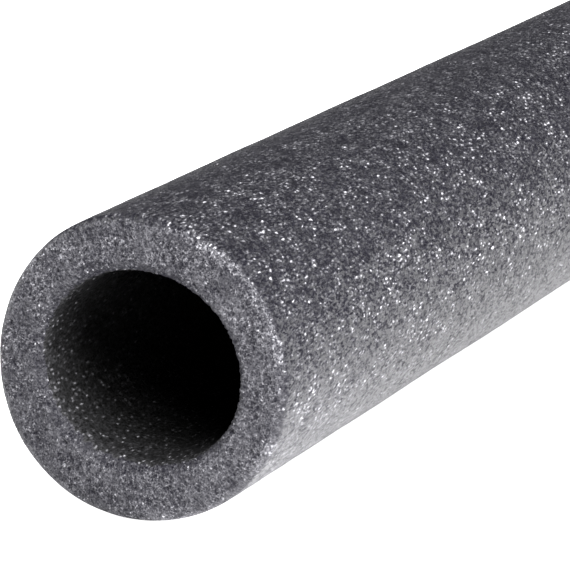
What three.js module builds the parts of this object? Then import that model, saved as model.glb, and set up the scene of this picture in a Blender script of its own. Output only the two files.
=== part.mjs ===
// A length of closed-cell polyethylene foam pipe lagging, lying on a level floor.
// It is one extruded tube with a round bore, cut off square at both ends.
// Millimetres, +Z up. The tube lies along X, with the origin under its middle, on the floor.
import * as THREE from "three";

// The size that the tube is sold by: the pipe it fits, its wall, and its length.
const boreDiameter = 35;
const wallThickness = 9;
const tubeLength = 1000;

// The foam gives way under the knife, so both edges of a cut end are softly rounded.
const outerEdgeRadius = 2;
const boreEdgeRadius = 2;

// How finely the round shapes are cut into flats.
const sidesRound = 96;
const stepsInEdge = 4;

const boreRadius = boreDiameter / 2;
const outerRadius = boreRadius + wallThickness;
const halfLength = tubeLength / 2;

// A quarter-round edge of the half section, as points of radius and place along the axis.
// It turns from one direction to the next, a quarter turn on, about the centre it is given.
function roundedEdge(centreRadius, centreAlong, edgeRadius, fromAngle) {
  const points = [];
  for (let step = 0; step <= stepsInEdge; step++) {
    const angle = fromAngle + (step / stepsInEdge) * (Math.PI / 2);
    points.push(
      new THREE.Vector2(
        centreRadius + edgeRadius * Math.cos(angle),
        centreAlong + edgeRadius * Math.sin(angle),
      ),
    );
  }
  return points;
}

// The wall's half section: a long rectangle with rounded corners, which closes on itself.
function wallSection() {
  const boreSide = boreRadius + boreEdgeRadius;
  const outerSide = outerRadius - outerEdgeRadius;
  const corners = [
    ...roundedEdge(outerSide, -halfLength + outerEdgeRadius, outerEdgeRadius, -Math.PI / 2),
    ...roundedEdge(outerSide, halfLength - outerEdgeRadius, outerEdgeRadius, 0),
    ...roundedEdge(boreSide, halfLength - boreEdgeRadius, boreEdgeRadius, Math.PI / 2),
    ...roundedEdge(boreSide, -halfLength + boreEdgeRadius, boreEdgeRadius, Math.PI),
  ];
  return [...corners, corners[0].clone()];
}

// The section turned about the axis. The flats touch the true circles at their middles, so the
// section is widened by the ratio of a polygon's corner to its flat, and a flat faces the floor.
function tubeGeometry() {
  const halfFlat = Math.PI / sidesRound;
  const cornerToFlat = 1 / Math.cos(halfFlat);
  const widened = wallSection().map((p) => new THREE.Vector2(p.x * cornerToFlat, p.y));
  return new THREE.LatheGeometry(widened, sidesRound, halfFlat).rotateZ(-Math.PI / 2);
}

const foam = new THREE.MeshStandardMaterial({
  color: new THREE.Color(0.1, 0.1, 0.105),
  roughness: 0.62,
  metalness: 0,
});

const foamTube = new THREE.Mesh(tubeGeometry(), foam);
foamTube.name = "foam_tube";
foamTube.position.set(0, 0, outerRadius);

const lagging = new THREE.Group();
lagging.add(foamTube);

export default lagging;
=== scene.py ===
# %% [markdown]
# # A length of foam pipe lagging
# The object is one tube of dark grey polyethylene foam, about as thick as a wrist, that is pushed over a
# heating pipe to keep the heat in. It is extruded in one go and cut to length with a knife, so it is one
# piece with three finishes: the skin outside, the skin of the bore, and the open foam of the two cut ends.
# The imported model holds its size. This script gives it the foam's surface.

# %% Load the fixed frame
import math

import bmesh
import bpy
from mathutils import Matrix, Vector, noise


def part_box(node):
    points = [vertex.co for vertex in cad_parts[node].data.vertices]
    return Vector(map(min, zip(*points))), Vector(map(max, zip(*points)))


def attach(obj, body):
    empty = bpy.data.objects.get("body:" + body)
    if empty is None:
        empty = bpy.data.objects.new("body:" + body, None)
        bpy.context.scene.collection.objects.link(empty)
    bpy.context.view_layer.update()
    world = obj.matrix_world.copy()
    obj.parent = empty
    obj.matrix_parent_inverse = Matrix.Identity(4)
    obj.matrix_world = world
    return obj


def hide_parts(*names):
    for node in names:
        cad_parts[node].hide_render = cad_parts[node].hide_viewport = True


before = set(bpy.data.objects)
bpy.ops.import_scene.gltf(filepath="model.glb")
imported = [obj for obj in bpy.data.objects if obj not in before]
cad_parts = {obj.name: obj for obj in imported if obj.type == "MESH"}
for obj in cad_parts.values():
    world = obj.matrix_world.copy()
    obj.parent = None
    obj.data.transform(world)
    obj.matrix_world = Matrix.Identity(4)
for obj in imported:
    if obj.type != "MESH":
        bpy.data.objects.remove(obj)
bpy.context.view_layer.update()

# %% [markdown]
# ## Sizes
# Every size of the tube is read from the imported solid, so the foam is never larger or smaller than the part
# that it dresses. The bore is not in the solid's box, so it is measured as the shortest way from the axis to
# a vertex. The rest are small sizes of the finish that the solid doesn't have, written in millimetres.

# %% Read the tube's sizes from the frame
MM = 0.001

foam_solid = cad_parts["foam_tube"]
tube_low, tube_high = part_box("foam_tube")
axis_height = (tube_low.z + tube_high.z) / 2
outer_radius = (tube_high.z - tube_low.z) / 2
bore_radius = min(math.hypot(v.co.y, v.co.z - axis_height) for v in foam_solid.data.vertices)
wall = outer_radius - bore_radius
print(f"outside {2 * outer_radius / MM:.1f} mm, bore {2 * bore_radius / MM:.1f} mm, wall {wall / MM:.1f} mm")

# %% [markdown]
# ## The wall's section
# A tube can be a cylinder with a hole, or a section that is turned about an axis. A turned section is the
# better start here, because the rings can lie close together at the cut ends, where the foam shows its
# cells, and far apart along the plain middle. The section begins as one long rectangle. A bevel rounds its
# corners, as the photo's skin turns softly into the face.

# %% Draw the rectangle and round its corners
edge_radius = 2.0 * MM
steps_in_edge = 9


def rounded_rectangle(section):
    """The wall's half section above the axis, as a closed loop of edges in the plane y = 0."""
    made = bmesh.ops.create_grid(section, x_segments=1, y_segments=1, size=0.5)
    for corner in made["verts"]:
        along = tube_high.x if corner.co.x > 0 else tube_low.x
        radius = outer_radius if corner.co.y > 0 else bore_radius
        corner.co = (along, 0, axis_height + radius)
    bmesh.ops.bevel(section, geom=section.verts[:], offset=edge_radius, offset_type="OFFSET",
                    segments=steps_in_edge, profile=0.5, affect="VERTICES", material=-1)
    bmesh.ops.delete(section, geom=section.faces[:], context="FACES_ONLY")


tube = bmesh.new()
rounded_rectangle(tube)
print("section:", len(tube.verts), "points in a loop of", len(tube.edges), "edges")

# %% [markdown]
# ## Where the rings lie
# Each long edge of the section is split into short ones before it is turned. At the end that the picture
# looks at, the splits start about a quarter of a millimetre apart. They start wider at the far end. From both
# ends they grow until they are as far apart as the plain skin allows.

# %% Split the section's edges
fine_step, fine_growth = 0.26 * MM, 1.09
coarse_step, coarse_growth = 0.8 * MM, 1.25
skin_reach, skin_step = 200 * MM, 2.2 * MM
bore_reach, bore_step = 40 * MM, 3 * MM
plain_step = 14 * MM


def distances_from_rim(first, growth, longest, reach):
    """Places along an edge, close together at its start and then further and further apart."""
    places, step = [], first
    place = step
    while place < reach - step:
        places.append(place)
        step = min(step * growth, longest)
        place += step
    return places


def split_edge(start, far_end, places):
    """Splits the edge between two vertices at these distances from the first one."""
    direction = (far_end.co - start.co).normalized()
    origin = start.co.copy()
    edge = start.link_edges[0] if far_end in start.link_edges[0].verts else start.link_edges[1]
    for place in places:
        share = (origin + direction * place - start.co).length / (far_end.co - start.co).length
        edge, start = bmesh.utils.edge_split(edge, start, share)
        edge = next(e for e in start.link_edges if far_end in e.verts)


def long_edges(section):
    """The section's four straight edges: the skin, the bore and the two cut faces."""
    longest = sorted(section.edges, key=lambda e: -e.calc_length())[:4]
    lengthwise = sorted(longest[:2], key=lambda e: -e.verts[0].co.z)
    across = sorted(longest[2:], key=lambda e: -e.verts[0].co.x)
    return *lengthwise, *across


def split_section(section):
    """Splits the skin and the bore more and more widely from each end, and the cut faces evenly."""
    skin, bore, seen_face, far_face = long_edges(section)
    for edge, seen_reach, seen_step in ((skin, skin_reach, skin_step), (bore, bore_reach, bore_step)):
        seen_rim, far_rim = sorted(edge.verts, key=lambda v: -v.co.x)
        length = edge.calc_length()
        near = distances_from_rim(fine_step, fine_growth, seen_step, seen_reach)
        far = distances_from_rim(coarse_step, coarse_growth, plain_step, length - near[-1])
        split_edge(seen_rim, far_rim, near + [length - place for place in reversed(far)])
    for face, step in ((seen_face, fine_step), (far_face, coarse_step)):
        bottom, top = sorted(face.verts, key=lambda v: v.co.z)
        split_edge(bottom, top, distances_from_rim(step, growth=1, longest=step, reach=face.calc_length()))


split_section(tube)
print("section:", len(tube.verts), "points after the splits")

# %% [markdown]
# ## Turning the section
# Spin turns the loop about the tube's axis and use_merge joins its last copy to the first. The ends then
# need more sides than the middle does: cutting only the edges that run round the tube keeps the rings where
# they are. A cut lies on a straight side, so each point is moved out to the true circle afterwards.

# %% Spin the loop and cut its ends finer
sides_round = 180
turn_of_side = 2 * math.pi / sides_round
axis_point = Vector((0, 0, axis_height))
no_length, no_turn = 1e-7, 1e-4
fine_zone = 4.5 * MM


def around(point):
    """A point's angle about the tube's axis, from straight up towards +Y, and its distance from the axis."""
    return math.atan2(point.y, point.z - axis_height), math.hypot(point.y, point.z - axis_height)


def at(angle, radius, along):
    """The point at an angle and a distance from the axis."""
    return Vector((along, radius * math.sin(angle), axis_height + radius * math.cos(angle)))


def cut_round(mesh, cuts, belongs):
    """Cuts the edges that run round the tube, where both ends of the edge belong."""
    def runs_round(edge):
        first, second = (v.co for v in edge.verts)
        return abs(first.x - second.x) < no_length and abs(around(first)[0] - around(second)[0]) > no_turn
    edges = [e for e in mesh.edges if belongs(e.verts[0].co) and belongs(e.verts[1].co) and runs_round(e)]
    bmesh.ops.subdivide_edges(mesh, edges=edges, cuts=cuts)


def onto_circle(mesh):
    """Moves each point out from the flat side that it was cut into, to the true circle."""
    for vertex in mesh.verts:
        angle, radius = around(vertex.co)
        from_middle = angle % turn_of_side - turn_of_side / 2
        vertex.co = at(angle, radius * math.cos(from_middle) / math.cos(turn_of_side / 2), vertex.co.x)


bmesh.ops.spin(tube, geom=tube.verts[:] + tube.edges[:], cent=axis_point, axis=(1, 0, 0),
               angle=2 * math.pi, steps=sides_round, use_merge=True)
cut_round(tube, cuts=3, belongs=lambda place: place.x > tube_high.x - fine_zone)
cut_round(tube, cuts=1, belongs=lambda place: place.x < tube_low.x + fine_zone)
onto_circle(tube)
bmesh.ops.recalc_face_normals(tube, faces=tube.faces[:])
print("tube:", len(tube.verts), "vertices and", sum(len(f.verts) - 2 for f in tube.faces), "triangles")

# %% [markdown]
# ## Out of round
# The tube in the photo isn't quite round, and its bore is further out of round than its outside. The waves
# below were fitted to the outlines that the photo shows, and they run on unchanged to the hidden end.
# A circle goes oval when a wave with two crests is added to its radius, and gets three soft corners from one
# with three. A wave with a single crest moves it aside. The waves are under a millimetre high, and they fade
# from those of the bore to those of the outside across the wall.

# %% Describe the squashed circles
outside_oval, outside_oval_at = 0.27 * MM, math.radians(59)
outside_lobes, outside_lobe_at = 0.24 * MM, math.radians(-18)
bore_oval, bore_oval_at = 0.76 * MM, math.radians(95)
bore_lift, bore_aside = 0.30 * MM, 0.30 * MM
bore_shrink = 0.26 * MM


def out_of_round(angle, radius):
    """How far a point at this angle and radius lies outside the true circle: the bore is squashed most."""
    outside = outside_oval * math.cos(2 * (angle - outside_oval_at))
    outside += outside_lobes * math.cos(3 * (angle - outside_lobe_at))
    bore = bore_oval * math.cos(2 * (angle - bore_oval_at)) - bore_shrink
    bore += bore_lift * math.cos(angle) + bore_aside * math.sin(angle)
    share = (radius - bore_radius) / wall
    return bore + share * (outside - bore)


bore_moves = [out_of_round(math.radians(turn), bore_radius) / MM for turn in range(360)]
print(f"the bore's wall moves from {min(bore_moves):.2f} to {max(bore_moves):.2f} mm outwards")

# %% [markdown]
# ## Opened cells and frayed edges
# The knife opens the cells that it meets. A cell is the room nearest to a random point, so Voronoi noise
# gives both its walls, where two points are equally near, and its middle, which becomes a pit. At the bore's
# edge and at the rim the photo shows small tufts. Both are too large for a bump map, because they show
# against the dark bore and the pale floor, so they are worked into the mesh.

# %% Describe the pits and the tufts
cell_size = 0.75 * MM
pit_depth = 0.28 * MM
cell_wall, cell_floor = 0.02, 0.42
cells_apart = 19.7
fray_depth, fray_size = 0.50 * MM, 0.46 * MM
bore_fray_width, bore_fray_reach = 2 * MM, 2.5 * MM
rim_fray_width, rim_fray_reach = 1.5 * MM, 1.4 * MM


def smooth(low, high, value):
    """0 below low, 1 above high, and an even S between them."""
    share = min(max((value - low) / (high - low), 0), 1)
    return share * share * (3 - 2 * share)


def fading(reach, value):
    """1 at 0, and an even S down to 0 at this reach."""
    return 1 - smooth(0, reach, value)


def from_end(place):
    """How far a spot lies from the nearer end of the tube."""
    return min(tube_high.x - place.x, place.x - tube_low.x)


def openness(place):
    """How deep a spot lies in an opened cell, from 0 on a cell wall to 1 in the middle of a deep cell."""
    (nearest, second, *_), (centre, *_) = noise.voronoi(place / cell_size)
    depth_of_cell = 0.5 + 0.5 * noise.cell(centre * cells_apart)
    return depth_of_cell * smooth(cell_wall, cell_floor, second - nearest)


def fraying(place, radius):
    """How far the foam stands up in tufts: at the bore's edge, and half as far at the rim."""
    at_bore = fading(bore_fray_width, radius - bore_radius) * fading(bore_fray_reach, from_end(place))
    at_rim = fading(rim_fray_width, outer_radius - radius) * fading(rim_fray_reach, from_end(place))
    return fray_depth * (at_bore + 0.5 * at_rim) * noise.noise(place / fray_size)


# %% [markdown]
# ## The border of the cut
# The cut runs on over each rounded edge, to a border where the skin starts. On the outside its depth follows
# a wave with three crests, which was fitted to the part of the rim that the photo shows. The rest of the rim
# and the far end are a guess. The border is also ragged. It never lies on the flat of the cut.

# %% Describe the border
cut_reach_outside, uneven_reach, deepest_at = 0.6 * MM, 0.75 * MM, math.radians(55)
cut_reach_bore = 1.2 * MM
least_reach = 0.12 * MM
ragged_depth, ragged_length = 0.8 * MM, 1.3 * MM


def past_cut(place):
    """How far a spot lies past the border of the cut: it is less than 0 on the bare foam."""
    angle, radius = around(place)
    reach = cut_reach_bore
    if radius > bore_radius + wall / 2:
        reach = cut_reach_outside + uneven_reach * math.cos(3 * (angle - deepest_at))
    reach += ragged_depth * noise.noise(place / ragged_length)
    return from_end(place) - max(reach, least_reach)


# %% [markdown]
# ## Pressing the foam
# Every vertex now gets its move. The skin also swells and sinks slowly, by too little to see on a ruler, but
# enough to break up the highlights. How open each spot is, how far across the wall it lies and how far past
# the cut are kept as vertex attributes, so that the finishes can colour the same pits and edges, partly with
# painted shade and painted light.

# %% Move the vertices
swell_depth, swell_size = 0.16 * MM, 34 * MM
lump_depth, lump_size = 0.05 * MM, 5 * MM
faces_outward, faces_along = 0.35, 0.9


def press_foam(mesh):
    """Moves the vertices, and stores on each how it lies to the cut."""
    opened = mesh.verts.layers.float.new("opened")
    across_wall = mesh.verts.layers.float.new("across_wall")
    past = mesh.verts.layers.float.new("past_cut")
    mesh.normal_update()
    moves = []
    for vertex in mesh.verts:
        place, outward = vertex.co, vertex.normal
        cut = smooth(faces_outward, faces_along, abs(outward.x))
        swell = swell_depth * noise.noise(place / swell_size) + lump_depth * noise.noise(place / lump_size)
        pit = openness(place) if cut > 0 else 0
        vertex[opened] = pit * cut
        angle, radius = around(place)
        vertex[across_wall] = (radius - bore_radius) / wall
        vertex[past] = past_cut(place)
        squash = at(angle, radius + out_of_round(angle, radius), place.x) - place
        lift = (1 - cut) * swell - cut * pit_depth * pit + fraying(place, radius)
        moves.append(squash + outward * lift)
    for vertex, move in zip(mesh.verts, moves):
        vertex.co += move


press_foam(tube)
settled = tube_low.z - min(v.co.z for v in tube.verts)
bmesh.ops.translate(tube, verts=tube.verts[:], vec=(0, 0, settled))
print(f"moved {settled / MM:.2f} mm to rest on the floor")

# %% [markdown]
# ## From mesh to object
# The three finishes need their own faces. A face is bare foam where its corners lie before the cut's border,
# on the average. What lies past the border is the outer skin, or the bore's skin where it is nearer to the
# bore.

# %% Sort the faces and make the object
SKIN, CUT, BORE = range(3)


def finish_of(face):
    """Which of the three finishes a face has."""
    past, across = (tube.verts.layers.float[name] for name in ("past_cut", "across_wall"))
    if sum(corner[past] for corner in face.verts) < 0:
        return CUT
    return SKIN if face.verts[0][across] > 0.5 else BORE


for face in tube.faces:
    face.material_index = finish_of(face)
    face.smooth = True
mesh = bpy.data.meshes.new("lagging_tube")
tube.to_mesh(mesh)
tube.free()
lagging = bpy.data.objects.new("lagging_tube", mesh)
bpy.context.scene.collection.objects.link(lagging)

# %% [markdown]
# ## Writing shader maths as sums
# A finish is built from nodes. Written as sums and products, their maths reads like maths: this small class
# wraps a node's output and adds a Math node for each operator.

# %% Wrap a socket


class Value:
    """A number that changes over a surface."""

    def __init__(self, shader, socket):
        self.shader, self.socket = shader, socket

    def maths(self, operation, *others):
        """A Math node on this number."""
        return self.shader.add("ShaderNodeMath", {"operation": operation}, [self, *others])

    def __add__(self, other):
        return self.maths("ADD", other)

    def __sub__(self, other):
        return self.maths("SUBTRACT", other)

    def __mul__(self, other):
        return self.maths("MULTIPLY", other)

    def __rpow__(self, other):
        return self.shader.add("ShaderNodeMath", {"operation": "POWER"}, [other, self])

    def __rsub__(self, other):
        return (self * -1) + other

    __radd__ = __add__
    __rmul__ = __mul__

    def between(self, low, high):
        """0 below low, 1 above high, and an even S between them."""
        return self.shader.add("ShaderNodeMapRange", {"interpolation_type": "SMOOTHSTEP"},
                               {"Value": self, "From Min": low, "From Max": high})


class Shader:
    """One material's nodes."""

    FIRST_COLOUR, SECOND_COLOUR, MIXED_COLOUR = 6, 7, 2
    WEAKEST_DOT = 0.25
    LIGHTEST_STOP = -0.2
    PALEST = (1, 0.99, 1.06, 1)
    DARKEST = (0.001, 0.0003, 0.007, 1)

    def __init__(self, name):
        self.material = bpy.data.materials.new(name)
        self.material.use_nodes = True
        self.tree = self.material.node_tree
        self.finish = self.tree.nodes["Principled BSDF"]
        self.place = self.add("ShaderNodeTexCoord", {}, {}, output="Object")

    def add(self, kind, settings, inputs, output=0):
        """A node of this type: its settings first, then the values or links of its sockets."""
        node = self.tree.nodes.new(kind)
        for name, value in settings.items():
            setattr(node, name, value)
        for name, value in (inputs.items() if isinstance(inputs, dict) else enumerate(inputs)):
            self.connect(value, node.inputs[name])
        return Value(self, node.outputs[output])

    def connect(self, value, socket):
        """Links a value to a socket, or sets the socket to a plain number or colour."""
        if isinstance(value, Value):
            self.tree.links.new(value.socket, socket)
        else:
            socket.default_value = value

    def colour(self, share, first, second):
        """A mix of two colours: the first where share is 0, the second where it is 1."""
        inputs = {"Factor": share, self.FIRST_COLOUR: first, self.SECOND_COLOUR: second}
        return self.add("ShaderNodeMix", {"data_type": "RGBA"}, inputs, output=self.MIXED_COLOUR)

    def vector(self, operation, *inputs, output="Vector"):
        """A Vector Math node."""
        return self.add("ShaderNodeVectorMath", {"operation": operation}, inputs, output=output)

    def cells(self, size, place, output="Distance"):
        """Cells round random points, about this size."""
        return self.add("ShaderNodeTexVoronoi", {}, {"Vector": place, "Scale": 1 / size}, output=output)

    def chance(self, size, place):
        """A random number from 0 to 1 for each cell of about this size."""
        return self.add("ShaderNodeSeparateColor", {}, [self.cells(size, place, output="Color")])

    def along(self, axis):
        """How far a spot lies along one of the object's axes."""
        return self.add("ShaderNodeSeparateXYZ", {}, [self.place], output=axis)

    def stretched(self, share):
        """Object coordinates that draw a pattern out along the tube."""
        return self.add("ShaderNodeMapping", {}, {"Vector": self.place, "Scale": (share, 1, 1)})

    def wobbled(self, place, size, depth):
        """Coordinates pushed about by up to this depth, so that round cells come out ragged."""
        inputs = {"Vector": place, "Scale": 1 / size, "Detail": 1.0}
        push = self.add("ShaderNodeTexNoise", {}, inputs, output="Color")
        push = self.vector("MULTIPLY_ADD", push, (2 * depth,) * 3, (-depth,) * 3)
        return self.vector("ADD", place, push)

    def dots(self, size, reach, place):
        """Round soft dots, one in each cell, with a random strength from a quarter to 1 each."""
        dot = 1 - self.cells(size, place).between(0, reach)
        return dot * (self.WEAKEST_DOT + (1 - self.WEAKEST_DOT) * self.chance(size, place))

    def tinted(self, stops, darkest=DARKEST):
        """Foam grey of a given lightness: 0 stops is white and each stop down is half as light."""
        return self.colour(2 ** stops.maths("MINIMUM", self.LIGHTEST_STOP), darkest, self.PALEST)

    def clouds(self, size, detail=2.0, place=None):
        """Soft, cloudy noise, with patches about this size, from 0 to 1."""
        inputs = {"Vector": place or self.place, "Scale": 1 / size, "Detail": detail}
        return self.add("ShaderNodeTexNoise", {}, inputs)

    def bump(self, height, depth, normal=None):
        """The normal of a surface that is raised by height times depth."""
        inputs = {"Height": height, "Distance": depth, "Strength": 1.0}
        if normal:
            inputs["Normal"] = normal
        return self.add("ShaderNodeBump", {}, inputs)

    def painted(self, name):
        """A number that was stored with each vertex of the mesh."""
        return self.add("ShaderNodeAttribute", {"attribute_name": name}, {}, output="Fac")

    def wear(self, **sockets):
        """Sets the surface shader's sockets."""
        for name, value in sockets.items():
            self.connect(value, self.finish.inputs[name.replace("_", " ")])
        return self.material


# %% [markdown]
# ## The skin
# The skin glints in the photo: a few specks flash and the rest stay dark. Here each cell is a tiny facet that
# points its own way, so under a lamp only a few of them flash. A facet's height is how far
# a spot lies from the cell's middle, in the direction in which that cell is tilted. A bump node makes the
# facets from that height.

# %% Tilt the facets


def tilted_facets(shader, size, place):
    """Height of a surface made of small facets, each turned its own way about its middle."""
    middle = shader.cells(size, place, output="Position")
    turn = shader.cells(size, place, output="Color")
    turn = shader.vector("SUBTRACT", turn, (0.5, 0.5, 0.5))
    offset = shader.vector("SUBTRACT", place, middle)
    return shader.vector("DOT_PRODUCT", offset, turn, output="Value")


# %% [markdown]
# The skin's colour is added up in stops, as a photographer counts light. Each stop halves it or doubles it,
# which suits the wide spread of greys in the photo. Bright dots lie on a dark ground, in cells that are drawn
# out along the tube, and they come in busy and in quiet areas. The dots are partly pale specks and partly
# painted glints, laid in the colour as well as made by the facets. At the cut's border there are pale shreds,
# partly torn skin and partly a painted highlight on its lip.
#
# Three parts of the colour are painted light, fitted to how bright the photo is in each place: weaker dots
# on a paler ground on the far side, away from the key lamp; the same low down, as a painted sheen from the
# glowing floor; and a pale strip low down near the end, as a painted reflection of that floor. The lamps
# alone gave too little of the strip, so it is laid in the colour. It is the same on both sides and at both
# ends, of which the photo shows one.

# %% Finish the skin


def skin_finish():
    large_gain, small_gain, grain_gain, patch_gain, shred_and_highlight_gain = 6.6, 4.3, 5.4, 2.6, 1.5
    near_dots, far_dots, far_side_painted_light = 0.38, 0.62, 0.42
    low_dots_lost, low_painted_sheen = 0.35, 0.4
    strip_dots_lost, strip_lift = 0.4, 2.0
    ground = 6.1
    wind_length, wind_depth = 400 * MM, 8 * MM
    skin = Shader("foam_skin")
    drawn = skin.wobbled(skin.stretched(0.45), size=0.5 * MM, depth=0.22 * MM)
    broad = skin.wobbled(skin.place, size=0.8 * MM, depth=0.4 * MM)
    grain = skin.clouds(0.30 * MM, place=drawn)
    patches = skin.clouds(3.5 * MM)
    busy = skin.clouds(4.5 * MM).between(0.36, 0.58)
    # Painted light: on the far side, away from the key lamp, the dots are weaker and the ground paler.
    winding = wind_depth * ((tube_high.x - skin.along("X")) * (math.tau / wind_length)).maths("SINE")
    painted_glint_side = (skin.along("Y") - winding).between(-7 * MM, 9 * MM)
    # Painted sheen: low down, where the glowing floor is reflected, the ground is paler and the dots weaker.
    low = 1 - skin.along("Z").between(9 * MM, 25 * MM)
    # Painted reflection of the glowing floor: a pale strip low down near each end.
    near_end = skin.along("X").maths("ABSOLUTE").between(tube_high.x - 90 * MM, tube_high.x - 5 * MM)
    painted_reflection_strip = near_end * (1 - skin.along("Z").between(14 * MM, 34 * MM))
    # The bright dots are partly pale specks and partly painted glints.
    large = skin.dots(0.72 * MM, reach=0.62, place=drawn) * (0.3 + 0.7 * busy)
    small = skin.dots(0.45 * MM, reach=0.70, place=drawn) * (0.5 + 0.5 * busy)
    # Pale shreds at the cut's border: partly torn skin, partly a painted highlight on its lip.
    at_border = (1 - skin.painted("past_cut").between(0.2 * MM, 0.8 * MM)) * (1 - painted_reflection_strip)
    shreds_and_highlight = at_border * (0.35 + 0.65 * skin.clouds(2.5 * MM).between(0.40, 0.56))
    dots = (large_gain * large + small_gain * small) * (far_dots + near_dots * painted_glint_side)
    dots = dots * (1 - low_dots_lost * low) * (1 - strip_dots_lost * painted_reflection_strip)
    stops = dots + far_side_painted_light * (1 - painted_glint_side) + low_painted_sheen * low + strip_lift * painted_reflection_strip
    stops = stops + grain_gain * (grain - 0.5) + patch_gain * (patches - 0.5) + shred_and_highlight_gain * shreds_and_highlight - ground
    normal = skin.bump(tilted_facets(skin, 0.36 * MM, drawn), depth=1.2)
    normal = skin.bump(tilted_facets(skin, 1.1 * MM, broad), depth=0.4, normal=normal)
    return skin.wear(Base_Color=skin.tinted(stops), Roughness=0.36, Specular_IOR_Level=0.28, Normal=normal)


# %% [markdown]
# ## The cut ends
# The cut shows open foam: pale walls with dark holes between them, so here the ground is light and the small
# dots are dark. The dark holes and the darkened pits of the mesh are painted shade in the opened cells. The
# wall is darker next to the bore, a painted shade, and a little paler at the rim, a painted light, as in the
# photo.

# %% Finish the cut ends


def cut_finish():
    dot_gain, hole_loss, grain_gain, curd_gain, patch_gain = 3.4, 5.6, 5.6, 5.2, 2.2
    quiet_share, busy_share = 0.65, 0.45
    pit_loss, rim_lift, bore_edge_loss = 1.8, 0.4, 1.0
    ground = 3.25
    cut = Shader("cut_foam")
    ragged = cut.wobbled(cut.place, size=0.5 * MM, depth=0.24 * MM)
    grain = cut.clouds(0.24 * MM, place=ragged)
    curds = cut.clouds(0.8 * MM, place=ragged)
    patches = cut.clouds(5 * MM)
    busy = cut.clouds(3.5 * MM, detail=1.0).between(0.35, 0.6)
    across = cut.painted("across_wall")
    # Painted light at the rim, and painted shade next to the bore.
    painted_rim_light = across.between(0.78, 0.97)
    painted_bore_shade = 1 - across.between(0, 0.22)
    dots = cut.dots(0.60 * MM, reach=0.45, place=ragged)
    # The small dark holes are painted shade in the open cells.
    holes = cut.dots(0.42 * MM, reach=0.60, place=ragged)
    stops = dot_gain * dots - hole_loss * holes
    stops = stops + grain_gain * (grain - 0.5) + curd_gain * (curds - 0.5)
    stops = stops * (quiet_share + busy_share * busy)
    # The pits of the mesh get painted shade.
    stops = stops + patch_gain * (patches - 0.5) - pit_loss * cut.painted("opened")
    stops = stops + rim_lift * painted_rim_light - bore_edge_loss * painted_bore_shade - ground
    normal = cut.bump(tilted_facets(cut, 0.36 * MM, ragged), depth=0.6)
    return cut.wear(Base_Color=cut.tinted(stops), Roughness=0.5, Specular_IOR_Level=0.3, Normal=normal)


# %% [markdown]
# ## The bore
# In the photo the bore is much darker than the outside, with faint streaks round it, and it grows paler over
# the last centimetre or so before the end. Here its darker ground is painted shade inside the bore, and its
# paler end is painted light. The colour was fitted with the lamps as they stand, the same at both ends.

# %% Finish the bore


def bore_finish():
    dot_gain, hole_loss, grain_gain, ring_gain = 4.8, 2.6, 3.5, 3.5
    mouth_lift, front_lift = 1.0, 1.2
    # A ground darker than the skin's: painted shade inside the bore.
    ground = 6.8
    bore = Shader("bore_skin")
    drawn = bore.wobbled(bore.stretched(0.5), size=0.6 * MM, depth=0.2 * MM)
    rings = bore.clouds(0.9 * MM, place=bore.stretched(2.4))
    grain = bore.clouds(0.35 * MM, place=drawn)
    # Painted light: paler over the last centimetre or so before each end.
    from_middle = bore.along("X").maths("ABSOLUTE")
    painted_mouth_light = from_middle.between(tube_high.x - 6 * MM, tube_high.x - 1.5 * MM)
    front = from_middle.between(tube_high.x - 18 * MM, tube_high.x - 7 * MM)
    dots = bore.dots(0.8 * MM, reach=0.5, place=drawn)
    holes = bore.dots(0.45 * MM, reach=0.6, place=drawn)
    stops = dot_gain * dots - hole_loss * holes
    stops = stops + grain_gain * (grain - 0.5) + ring_gain * (rings - 0.5)
    stops = stops + mouth_lift * painted_mouth_light + front_lift * front
    normal = bore.bump(tilted_facets(bore, 0.45 * MM, drawn), depth=0.8)
    colour = bore.tinted(stops - ground, darkest=(0.0006, 0.0006, 0, 1))
    return bore.wear(Base_Color=colour, Roughness=0.45, Specular_IOR_Level=0.25, Normal=normal)


# %% [markdown]
# The finishes go on in the order of the three numbers that the faces were given.

# %% Put the finishes on
for finish in (skin_finish(), cut_finish(), bore_finish()):
    mesh.materials.append(finish)
print("finishes:", [finish.name for finish in mesh.materials])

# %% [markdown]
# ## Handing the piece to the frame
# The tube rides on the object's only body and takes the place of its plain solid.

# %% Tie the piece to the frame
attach(lagging, "root")
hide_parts("foam_tube")

# %% [markdown]
# ## Floor and light
# The picture has a plain white ground, so the floor shines by itself, but only to the camera. Two flat lamps
# that the camera doesn't see lie on it and light the foam's lower side, as a light table would. Four square
# lamps stand round the tube.

# %% Lay the floor


def plain_floor():
    """A wide pale floor that shines to the camera only."""
    shape = bmesh.new()
    bmesh.ops.create_grid(shape, x_segments=1, y_segments=1, size=30)
    floor_mesh = bpy.data.meshes.new("floor")
    shape.to_mesh(floor_mesh)
    shape.free()
    floor = bpy.data.objects.new("floor", floor_mesh)
    bpy.context.scene.collection.objects.link(floor)
    white = Shader("pale_floor")
    seen = white.add("ShaderNodeLightPath", {}, {}, output="Is Camera Ray")
    glow = white.colour(seen, (0, 0, 0, 1), (1, 1, 1, 1))
    floor_mesh.materials.append(white.wear(Base_Color=(0.85, 0.85, 0.85, 1), Roughness=0.9,
                                           Emission_Color=glow, Emission_Strength=1.1))


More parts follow.
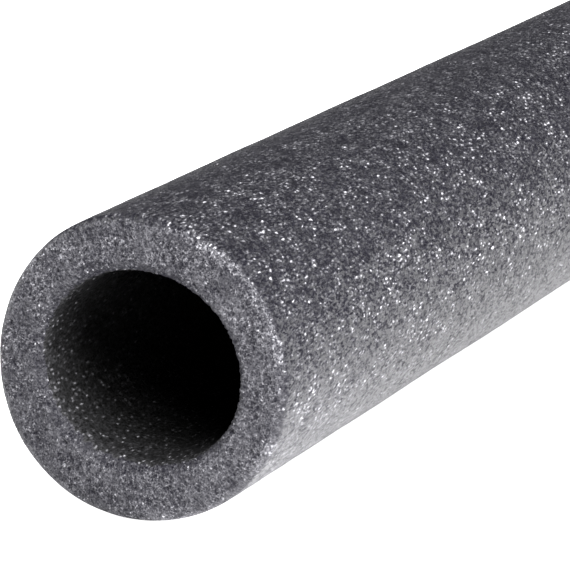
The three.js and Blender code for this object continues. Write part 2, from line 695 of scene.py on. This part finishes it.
def surroundings():
    """White to the camera, as the floor is, and dark to the foam."""
    strength_for_foam, strength_for_camera = 0.03, 1.2
    world = bpy.data.worlds.new("studio")
    world.use_nodes = True
    nodes, links = world.node_tree.nodes, world.node_tree.links
    path = nodes.new("ShaderNodeLightPath")
    strength = nodes.new("ShaderNodeMapRange")
    links.new(path.outputs["Is Camera Ray"], strength.inputs["Value"])
    strength.inputs["To Min"].default_value = strength_for_foam
    strength.inputs["To Max"].default_value = strength_for_camera
    links.new(strength.outputs[0], nodes["Background"].inputs["Strength"])
    nodes["Background"].inputs["Color"].default_value = (1, 1, 1, 1)
    bpy.context.scene.world = world


def softbox(name, place, aim, width, height, radiance):
    """A flat lamp that gives this radiance over its whole face."""
    lamp = bpy.data.lights.new(name, "AREA")
    lamp.shape, lamp.size, lamp.size_y = "RECTANGLE", width, height
    lamp.energy = radiance * math.pi * width * height
    fixture = bpy.data.objects.new(name, lamp)
    fixture.location = place
    fixture.rotation_mode = "QUATERNION"
    fixture.rotation_quaternion = (aim - place).to_track_quat("-Z", "Y")
    fixture.visible_camera = False
    bpy.context.scene.collection.objects.link(fixture)


def glow_on_floor(name, x_from, x_to, y_from, y_to, radiance):
    """A patch just above the floor that shines upwards."""
    above_floor = 0.5 * MM
    middle = Vector(((x_from + x_to) / 2, (y_from + y_to) / 2, above_floor))
    softbox(name, middle, middle + Vector((0, 0, 1)), x_to - x_from, y_to - y_from, radiance)


def towards(azimuth, elevation, distance):
    """A place this far from the seen end: azimuth 0 is along +X and 90 along +Y, in degrees."""
    turn, rise = math.radians(azimuth), math.radians(elevation)
    level = Vector((math.cos(turn), math.sin(turn), 0))
    return seen_end + distance * (level * math.cos(rise) + Vector((0, 0, math.sin(rise))))


seen_end = Vector((tube_high.x, 0, axis_height + settled))
plain_floor()
surroundings()
lamp_distance, lamp_side = 2.2, 1.1
lamps = {
    "key": (45, 50, 20),
    "right_fill": (90, 15, 3.7),
    "back_light": (180, 50, 4.5),
    "left_fill": (270, 15, 8),
}
for lamp_name, (azimuth, elevation, radiance) in lamps.items():
    softbox(lamp_name, towards(azimuth, elevation, lamp_distance), seen_end, lamp_side, lamp_side, radiance)
front = tube_high.x + 0.2
glow_on_floor("light_table", x_from=tube_high.x - 2.2, x_to=front, y_from=0, y_to=1.6, radiance=1.03)
glow_on_floor("front_glow", x_from=tube_high.x - 0.03, x_to=front, y_from=0.045, y_to=0.4, radiance=1.4)
print("lamps round the tube, as azimuth, elevation and radiance:", lamps)

# %% [markdown]
# ## The camera
# A long lens looks down on the tube's near end from the right. The camera is placed from the end that it
# looks at: which way it looks, how far away it stands, and how far the end lies from the picture's middle.

# %% Set up the camera
camera_yaw = math.radians(24.27)
camera_elevation = math.radians(14.11)
end_distance = 626.8 * MM
end_right_of_middle = -24.54 * MM
end_below_middle = 14.31 * MM
lens_length = 239.2
sensor_width = 36.0

level = Vector((-math.cos(camera_yaw), -math.sin(camera_yaw), 0))
right = Vector((-math.sin(camera_yaw), math.cos(camera_yaw), 0))
forward = level * math.cos(camera_elevation) - Vector((0, 0, math.sin(camera_elevation)))
down = forward.cross(right)
camera_data = bpy.data.cameras.new("camera")
camera_data.lens, camera_data.sensor_width = lens_length, sensor_width
camera_data.clip_start, camera_data.clip_end = 0.01, 100
camera = bpy.data.objects.new("camera", camera_data)
camera.location = seen_end - right * end_right_of_middle - down * end_below_middle - forward * end_distance
camera.rotation_mode = "QUATERNION"
camera.rotation_quaternion = forward.to_track_quat("-Z", "Y")
bpy.context.scene.collection.objects.link(camera)
bpy.context.scene.camera = camera
bpy.context.scene.view_settings.view_transform = "Standard"
